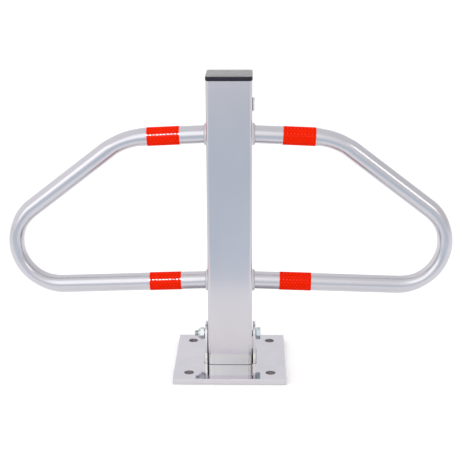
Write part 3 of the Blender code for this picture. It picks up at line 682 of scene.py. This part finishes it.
def hinge_bolt():
    """The bolt as two pieces: a head with a dished face, and a shank threaded at the nut's end."""
    low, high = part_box("hinge_bolt")
    head_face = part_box("head_washer")[1].x + GAP
    centre = (HINGE.y, HINGE.z)
    flats = HEX_ACROSS_FLATS
    head = [hexagon(head_face, flats), *hex_end(high.x, flats, 1)]
    dish = [
        circle(flats * 0.40, high.x, HEX_SIDES, centre),
        circle(flats * 0.37, high.x - 0.35 * MM, HEX_SIDES, centre),
    ]
    show("hinge_bolt", skin("hinge_bolt", [*head, *dish], angle=25), "base", "zinc_plate")
    thread_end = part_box("left_lug")[0].x
    radius = BOLT_RADIUS - 0.05 * MM
    rings = thread(low.x, thread_end, radius, centre)
    plain = [circle(radius, x, THREAD_SIDES, centre) for x in (thread_end + MM, head_face + MM)]
    shank = bpy.data.objects.new("hinge_bolt_shank", skin("hinge_bolt_shank", [*rings, *plain]))
    bpy.context.scene.collection.objects.link(shank)
    shank.data.materials.append(materials["zinc_plate"])
    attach(shank, "base")


def hinge_nut():
    """A locking nut: a hexagon, a rolled collar round the end, and the plastic insert it holds."""
    low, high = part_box("hinge_nut")
    centre = (HINGE.y, HINGE.z)
    flats = HEX_ACROSS_FLATS
    insert_low, insert_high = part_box("nut_insert")
    collar_foot = insert_high.x + 2 * GAP
    collar = (insert_high.z - insert_low.z) / 2 + 1.2 * MM
    bore = BOLT_RADIUS + 0.1 * MM
    sides = HEX_SIDES
    inner_edge, inner_face = hex_end(high.x, flats, 1)
    outer_edge, outer_face = hex_end(collar_foot, flats, -1)
    rings = [
        circle(bore, high.x - 0.5 * MM, sides, centre),
        circle(bore + 0.5 * MM, high.x, sides, centre),
        inner_face,
        inner_edge,
        outer_edge,
        outer_face,
        circle(collar + 0.4 * MM, collar_foot, sides, centre),
        circle(collar, collar_foot - 0.5 * MM, sides, centre),
        circle(collar, low.x + 0.9 * MM, sides, centre),
        circle(collar - 0.3 * MM, low.x + 0.25 * MM, sides, centre),
        circle(collar - 0.8 * MM, low.x, sides, centre),
        circle(collar - 1.0 * MM, low.x + 0.2 * MM, sides, centre),
        circle(collar - 0.9 * MM, insert_high.x + 0.2 * MM, sides, centre),
        circle(bore, insert_high.x + 0.2 * MM, sides, centre),
    ]
    show("hinge_nut", skin("hinge_nut", rings, closed=True, angle=25), "base", "zinc_plate")
    outer = (insert_high.z - insert_low.z) / 2 - 0.05 * MM
    edge = 0.35 * MM
    ring = [
        (bore, insert_low.x + edge),
        (bore + edge, insert_low.x),
        (outer - edge, insert_low.x),
        (outer, insert_low.x + edge),
        (outer, insert_high.x),
        (bore, insert_high.x),
    ]
    show("nut_insert", lathe("nut_insert", ring, centre, closed=True), "base", "white_nylon")


def washers():
    """Flat washers with eased edges, under the bolt's head and under the nut."""
    for node in ("head_washer", "nut_washer"):
        low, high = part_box(node)
        outer = (high.z - low.z) / 2
        bore = BOLT_RADIUS + 0.25 * MM
        edge = 0.25 * MM
        profile = [
            (bore, low.x + edge),
            (bore + edge, low.x),
            (outer - edge, low.x),
            (outer, low.x + edge),
            (outer, high.x - edge),
            (outer - edge, high.x),
            (bore + edge, high.x),
            (bore, high.x - edge),
        ]
        mesh = lathe(node, profile, (HINGE.y, HINGE.z), sides=72, closed=True)
        show(node, mesh, "base", "zinc_plate")


# ------------------------------------------------------------------------------- post


def post_tube():
    """The square tube, cut for the sleeve and the lock and rounded at the rear of its foot."""
    inner_half = POST_HALF - POST_WALL
    edge = 0.4 * MM
    inner_corner = POST_CORNER - POST_WALL
    rings = [
        rounded_square(POST_HALF - edge / 3, POST_CORNER - edge / 3, POST_LOW.z),
        rounded_square(POST_HALF, POST_CORNER, POST_LOW.z + edge / 3),
        rounded_square(POST_HALF, POST_CORNER, POST_HIGH.z - edge),
        rounded_square(POST_HALF - edge, POST_CORNER - edge, POST_HIGH.z),
        rounded_square(inner_half, inner_corner, POST_HIGH.z),
        rounded_square(inner_half, inner_corner, POST_LOW.z),
    ]
    tube = skin("post_tube", rings, closed=True)
    centre = (HINGE.y, HINGE.z)
    sleeve = lathe("sleeve_hole", [(SLEEVE_RADIUS + 0.05 * MM, x) for x in (-1, 1)], centre)
    nut_low, nut_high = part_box("lock_nut")
    nut_grip = 3.4 * MM
    barrel = (nut_high.y - nut_low.y) / 2 - nut_grip
    lock = lathe("lock_hole", [(barrel, x) for x in (0, 1)], (LOCK.y, LOCK.z))
    foot = arc(centre, SWING_RADIUS, -90, 0, 40)
    foot = [(0, -1), (1, -1), (1, HINGE.z), *reversed(foot)]
    rear = skin("rear_foot", [[(x, y, z) for y, z in foot] for x in (-1, 1)])
    show("post_tube", carve(tube, sleeve, lock, rear), "post", "galvanised_post")


def top_cap():
    """The push-in cap: a skirt inside the tube, a rounded rim over its end, and a low dome."""
    low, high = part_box("top_cap")
    half = high.x
    rim_low = POST_HIGH.z + GAP
    edge = 1.3 * MM
    crown = 0.35 * MM
    skirt_half = POST_HALF - POST_WALL - 1.1 * MM
    rim = [rounded_square(skirt_half - 2 * MM, 2 * MM, rim_low + MM)]
    rim += [
        rounded_square(skirt_half - 2 * MM, 2 * MM, low.z),
        rounded_square(skirt_half, 2.5 * MM, low.z),
        rounded_square(skirt_half, 2.5 * MM, rim_low),
        rounded_square(half - 0.5 * MM, POST_CORNER, rim_low),
        rounded_square(half, POST_CORNER + 0.3 * MM, rim_low + 0.5 * MM),
    ]
    for step in range(6):
        turn = math.radians(90 * step / 5)
        inset = edge * (1 - math.cos(turn))
        height = high.z - crown - edge * (1 - math.sin(turn))
        rim.append(rounded_square(half - inset, POST_CORNER + 0.3 * MM - inset * 0.8, height))
    for share in (0.9, 0.75, 0.5, 0.25, 0.05):
        height = high.z - crown + crown * (1 - share**4)
        rim.append(rounded_square((half - edge) * share, (POST_CORNER - MM) * share, height))
    show("top_cap", skin("top_cap", rim, angle=40), "post", "black_plastic")


def wing_path():
    """The wing's centre line as (X, Z): upper leg, shoulder bend, diagonal, elbow bend, lower leg."""
    wing_low, wing_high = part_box("right_wing")
    upper_leg = sum(corner.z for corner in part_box("right_upper_weld")) / 2
    lower_leg = sum(corner.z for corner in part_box("right_lower_weld")) / 2
    start = wing_low.x
    elbow_x = wing_high.x - TUBE_RADIUS * (1 - ELBOW_SQUASH) - ELBOW_RADIUS
    foot = lower_leg - (elbow_x - POST_HALF) * math.tan(LOWER_LEG_SLOPE)
    elbow = (elbow_x, foot + ELBOW_RADIUS / math.cos(LOWER_LEG_SLOPE))
    diagonal = math.degrees(DIAGONAL_SLOPE)
    upper = math.degrees(UPPER_LEG_SLOPE)
    leave = arc(elbow, ELBOW_RADIUS, 90 - diagonal, 90 - diagonal, 1)[0]
    upper_drop = math.tan(UPPER_LEG_SLOPE)
    diagonal_drop = math.tan(DIAGONAL_SLOPE)
    rise = leave[1] + leave[0] * diagonal_drop - upper_leg - POST_HALF * upper_drop
    corner = Vector((rise / (diagonal_drop - upper_drop), 0))
    corner.y = upper_leg - (corner.x - POST_HALF) * upper_drop
    back = SHOULDER_RADIUS * math.tan((DIAGONAL_SLOPE - UPPER_LEG_SLOPE) / 2)
    bend = corner - back * Vector((1, -upper_drop)).normalized()
    shoulder = bend - SHOULDER_RADIUS * Vector((math.sin(UPPER_LEG_SLOPE), math.cos(UPPER_LEG_SLOPE)))
    elbow_end = -90 - math.degrees(LOWER_LEG_SLOPE)
    shoulder_bend = arc(shoulder, SHOULDER_RADIUS, 90 - upper, 90 - diagonal, 20)
    elbow_bend = arc(elbow, ELBOW_RADIUS, 90 - diagonal, elbow_end, 72)
    first = (start, upper_leg - (start - POST_HALF) * upper_drop)
    last = (start, lower_leg - (start - POST_HALF) * math.tan(LOWER_LEG_SLOPE))
    stretches = [
        ([first, *divided(first, shoulder_bend[0])], 0),
        (shoulder_bend, SHOULDER_SQUASH),
        (divided(shoulder_bend[-1], elbow_bend[0]), 0),
        (elbow_bend, ELBOW_SQUASH),
        ([*divided(elbow_bend[-1], last), last], 0),
    ]
    path, squash = [], []
    for points, most in stretches:
        path += points
        end = len(points) - 1
        squash += [most * ease(min(1, 4 * i / end, 4 * (end - i) / end)) for i in range(end + 1)]
    return path, squash


def ease(share):
    """Runs from 0 to 1 with a soft start and a soft end."""
    return share * share * (3 - 2 * share)


def divided(start, end, step=0.012):
    """Points between two others, about this far apart, both ends left out."""
    start, end = Vector(start), Vector(end)
    count = int((end - start).length / step)
    return [tuple(start.lerp(end, i / count)) for i in range(1, count)]


def sweep(path, squash, radius, sides=48):
    """Rings of a round tube along (X, Z) points, squashed in its bends, with upright ends."""
    rings = []
    points = [Vector(point) for point in path]
    for i, point in enumerate(points):
        ahead = points[min(i + 1, len(points) - 1)] - points[max(i - 1, 0)]
        if i in (0, len(points) - 1):
            ahead = Vector((math.copysign(1, ahead.x), 0))
        across = Vector((-ahead.y, ahead.x)).normalized() * radius * (1 - squash[i])
        depth = radius * (1 + SPREAD * squash[i])
        ring = []
        for k in range(sides):
            turn = 2 * math.pi * k / sides
            flat = point + across * math.sin(turn)
            ring.append((flat.x, -depth * math.cos(turn), flat.y))
        rings.append(ring)
    return rings


def wings():
    """Each wing is one bent tube, swept along the same path or its mirror image."""
    path, squash = wing_path()
    for node, side in (("right_wing", 1), ("left_wing", -1)):
        mirrored = [(side * x, z) for x, z in path]
        show(node, skin(node, sweep(mirrored, squash, TUBE_RADIUS)), "post", "galvanised_tube")


def wing_welds():
    """A rippled bead round each of the four tube ends, where it meets the post."""
    steps, section = 120, 9
    for seed, (leg, side) in enumerate([(a, b) for a in ("upper", "lower") for b in ("left", "right")]):
        node = f"{side}_{leg}_weld"
        low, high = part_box(node)
        outward = 1 if side == "right" else -1
        face = low.x if outward > 0 else high.x
        width = high.x - low.x
        centre = (low.z + high.z) / 2
        inner = TUBE_RADIUS - 0.1 * MM
        size = (high.z - low.z) / 2 - inner
        rings = []
        for i in range(steps):
            turn = 2 * math.pi * i / steps
            bulge = 0.74 + 0.26 * ripple(turn * 17, seed)
            ring = [(face, inner * math.cos(turn), centre + inner * math.sin(turn))]
            for k in range(section):
                lean = math.radians(90 * k / (section - 1))
                radius = inner + size * bulge * math.cos(lean)
                along = face + outward * width * bulge * math.sin(lean)
                ring.append((along, radius * math.cos(turn), centre + radius * math.sin(turn)))
            rings.append(ring)
        show(node, skin(node, rings, closed=True, angle=60), "post", "weld_metal")


def bands():
    """Each band is a strip of tape wrapped round the tube, its end lapped over at the back."""
    sides = 96
    for node in BANDS:
        low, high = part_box(node)
        slope = UPPER_LEG_SLOPE if "upper" in node else LOWER_LEG_SLOPE
        lean = slope if node.startswith("right") else -slope
        reach = (high.x - low.x) / 2 - TUBE_RADIUS * math.sin(slope)
        skin_radius = TUBE_RADIUS + 0.05 * MM
        rings = []
        ends = ((-reach, 0), (-reach, TAPE_THICKNESS), (reach, TAPE_THICKNESS), (reach, 0))
        for along, thickness in ends:
            ring = []
            for i in range(sides):
                turn = 2 * math.pi * i / sides
                lapped = LAP_RISE if abs(turn - LAP_TURN) < LAP_WIDTH else 0
                radius = skin_radius + (thickness + lapped if thickness else 0)
                ring.append((along, radius * math.cos(turn), radius * math.sin(turn)))
            rings.append(ring)
        place = Matrix.Translation((low + high) / 2) @ Matrix.Rotation(lean, 4, "Y")
        show(node, skin(node, rings, angle=50), "post", "reflective_red", place)


# ------------------------------------------------------------------------------- lock


def lock_face():
    """The lock's housing, with its bezel and ridged barrel, and the gasket behind the bezel."""
    low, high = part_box("lock_housing")
    radius = (high.z - low.z) / 2
    face = high.x
    gasket_low, gasket_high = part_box("lock_gasket")
    plug_low, plug_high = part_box("lock_plug")
    plug = (plug_high.z - plug_low.z) / 2
    bore = plug + 0.15 * MM
    barrel = radius - 1.5 * MM
    back = gasket_high.x + GAP
    centre = (LOCK.y, LOCK.z)
    profile = [
        (bore, face - 0.6 * MM),
        (bore + 0.6 * MM, face - 0.2 * MM),
        (radius - 1.6 * MM, face),
        (radius - 0.8 * MM, face - 0.12 * MM),
        (radius - 0.25 * MM, face - 0.45 * MM),
        (radius, face - 0.9 * MM),
        (radius, back + 0.2 * MM),
        (radius - 0.2 * MM, back),
        (barrel, back),
    ]
    steps = int((back - low.x) / (0.9 * MM))
    for i in range(steps):
        along = back - (i + 0.5) / steps * (back - low.x)
        profile.append((barrel - (0.35 * MM if i % 2 else 0), along))
    profile += [(barrel - 0.4 * MM, low.x), (bore, low.x)]
    mesh = lathe("lock_housing", profile, centre, closed=True, sides=96)
    hole = [(1.2 * MM, x) for x in (face - MM, face + MM)]
    rivet = lathe("rivet_hole", hole, (COVER.y, COVER.z), sides=32)
    show("lock_housing", carve(mesh, rivet), "post", "lock_chrome")
    seal = [
        (barrel + 0.2 * MM, gasket_low.x),
        (radius - 0.2 * MM, gasket_low.x),
        (radius, gasket_low.x + 0.2 * MM),
        (radius, gasket_high.x),
        (barrel + 0.2 * MM, gasket_high.x),
    ]
    show("lock_gasket", lathe("lock_gasket", seal, centre, closed=True, sides=96), "post", "black_rubber")


def dust_cover():
    """The swing cover, an eased disc with an ear round its rivet, and the rivet's domed head."""
    low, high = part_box("dust_cover")
    radius = (high.y - low.y) / 2
    ear = high.z - COVER.z
    centre = Vector((LOCK.y, low.z + radius))
    distance = COVER.z - centre.y
    lean = math.degrees(math.acos((radius - ear) / distance))
    disc = arc(centre, radius, 90 + lean, 450 - lean, 72)
    eye = arc((COVER.y, COVER.z), ear, 90 - lean, 90 + lean, 24)
    hole = arc((COVER.y, COVER.z), 1.15 * MM, 0, 345, 23)
    mesh = sheet_metal("dust_cover", [[*disc, *eye], hole], low.x, high.x, 0.22 * MM, "X")
    show("dust_cover", mesh, "dust_cover", "lock_chrome")
    rivet_low, rivet_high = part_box("cover_rivet")
    head = (rivet_high.z - rivet_low.z) / 2
    seat = high.x + 0.05 * MM
    dome = []
    for angle in (0, 15, 30, 45, 60, 75, 88):
        turn = math.radians(angle)
        dome.append((head * math.cos(turn), seat + (rivet_high.x - seat) * math.sin(turn)))
    shank = [(1.0 * MM, rivet_low.x), (1.0 * MM, seat)]
    mesh = lathe("cover_rivet", [*shank, *dome], (COVER.y, COVER.z), sides=40)
    show("cover_rivet", mesh, "post", "lock_chrome")


# ------------------------------------------------------------------------------- stage


def camera():
    """The photograph's camera, as fitted to its straight edges."""
    data = bpy.data.cameras.new("camera")
    data.sensor_width = SENSOR_WIDTH
    data.lens = LENS
    obj = bpy.data.objects.new("camera", data)
    bpy.context.scene.collection.objects.link(obj)
    look = (
        Matrix.Rotation(-CAMERA_YAW, 4, "Z")
        @ Matrix.Rotation(math.pi / 2 - CAMERA_PITCH, 4, "X")
        @ Matrix.Rotation(CAMERA_ROLL, 4, "Z")
    )
    obj.matrix_world = Matrix.Translation(CAMERA_PLACE) @ look
    bpy.context.scene.camera = obj


def softbox(name, place, target, size, watts, colour=(1, 1, 1)):
    """A rectangular lamp that faces its target and isn't seen by the camera."""
    data = bpy.data.lights.new(name, "AREA")
    data.shape = "RECTANGLE"
    data.size, data.size_y = size
    data.energy = watts
    data.color = colour
    obj = bpy.data.objects.new(name, data)
    obj.location = place
    obj.rotation_euler = (Vector(target) - Vector(place)).to_track_quat("-Z", "Y").to_euler()
    obj.visible_camera = False
    bpy.context.scene.collection.objects.link(obj)
    return obj


def sheet(name, low, high, colour, variation):
    """A flat paper sheet on the ground, darker along its middle and lighter away from it."""
    bm = bmesh.new()
    corners = [low, (high[0], low[1], low[2]), high, (low[0], high[1], low[2])]
    bm.faces.new([bm.verts.new(corner) for corner in corners])
    obj = bpy.data.objects.new(name, smooth_mesh(bm, name))
    bpy.context.scene.collection.objects.link(obj)
    paper = Finish(name, colour, 0.9)
    middle = (low[1] + high[1]) / 2
    away = paper.math("ABSOLUTE", paper.math("SUBTRACT", paper.axes()[1], middle))
    patches = paper.span(paper.noise(3.0), -0.1, 0.1)
    uneven = paper.math("ADD", patches, paper.span(away, 0, 1, 0.1, CARD_FADE))
    paper.tint(paper.blend(uneven, shade(colour, 1 - variation), shade(colour, 1 + variation)))
    obj.data.materials.append(paper.material)
    return obj


def sky():
    """A plain sky that is brighter on the left than on the right."""
    world = bpy.data.worlds.new("studio")
    bpy.context.scene.world = world
    world.use_nodes = True
    tree = world.node_tree
    background = tree.nodes["Background"]
    background.inputs["Strength"].default_value = SKY
    direction = tree.nodes.new("ShaderNodeTexCoord")
    axes = tree.nodes.new("ShaderNodeSeparateXYZ")
    across = tree.nodes.new("ShaderNodeMapRange")
    blend = tree.nodes.new("ShaderNodeMix")
    blend.data_type = "RGBA"
    across.inputs["From Min"].default_value = -1
    blend.inputs[MIX_FIRST].default_value = (*SKY_LEFT, 1)
    blend.inputs[MIX_SECOND].default_value = (*SKY_RIGHT, 1)
    tree.links.new(direction.outputs["Generated"], axes.inputs[0])
    tree.links.new(axes.outputs["X"], across.inputs["Value"])
    tree.links.new(across.outputs["Result"], blend.inputs["Factor"])
    tree.links.new(blend.outputs[MIX_RESULT], background.inputs["Color"])


def studio():
    """A pale floor, soft lamps round the camera, and a grey card that shows only in reflections.

    The glint lights only the tape's gloss, for its row of white dots."""
    sheet("floor", (-30, -30, -0.2 * MM), (30, 30, -0.2 * MM), (0.95, 0.95, 0.95), 0.004)
    card = sheet("front_card", (-1.5, -2.9, -0.1 * MM), (1.5, -0.43, -0.1 * MM), (0.57, 0.645, 0.72), 0.08)
    card.visible_camera = False
    card.visible_diffuse = False
    card.visible_shadow = False
    sky()
    for name, place, size, watts in (
        ("overhead", (0, -0.1, 3.0), (4.0, 4.0), 20),
        ("far_floor", (0, 7.0, 4.0), (16.0, 12.0), 60),
    ):
        lamp = softbox(name, place, (place[0], place[1] + 0.1 * MM, 0), size, watts)
        lamp.visible_glossy = False
    softbox("key", (-0.49, -1.84, 1.35), LIGHT_AIM, (1.2, 1.9), 3.5)
    softbox("fill", (0.10, -1.84, 1.35), LIGHT_AIM, (1.9, 1.5), 1.7)
    softbox("left_bank", (-1.54, -1.65, 0.96), LIGHT_AIM, (1.0, 1.3), 3.3)
    softbox("right_bank", (1.66, -1.41, 1.22), LIGHT_AIM, (0.4, 0.8), 2.4, (1.0, 0.97, 0.88))
    glint = softbox("glint", (-0.33, -1.75, 1.38), LIGHT_AIM, (0.12, 0.12), 170)
    glint.visible_diffuse = False
    glint.light_linking.receiver_collection = bpy.data.collections.new("tape_bands")
    for node in BANDS:
        glint.light_linking.receiver_collection.objects.link(bpy.data.objects[f"{node}_detail"])
    bpy.context.scene.view_settings.view_transform = "Standard"


# ------------------------------------------------------------------------------- build

materials = make_materials()
slots = {part["node"]: part["material_slot"] for part in frame["record"]["subparts"]}
for name, obj in frame["nodes"].items():
    obj.data.materials.clear()
    obj.data.materials.append(materials[slots[name]])
base_plate()
lugs()
lug_welds()
hinge_bolt()
hinge_nut()
washers()
post_tube()
top_cap()
wings()
wing_welds()
bands()
lock_face()
dust_cover()
camera()
studio()
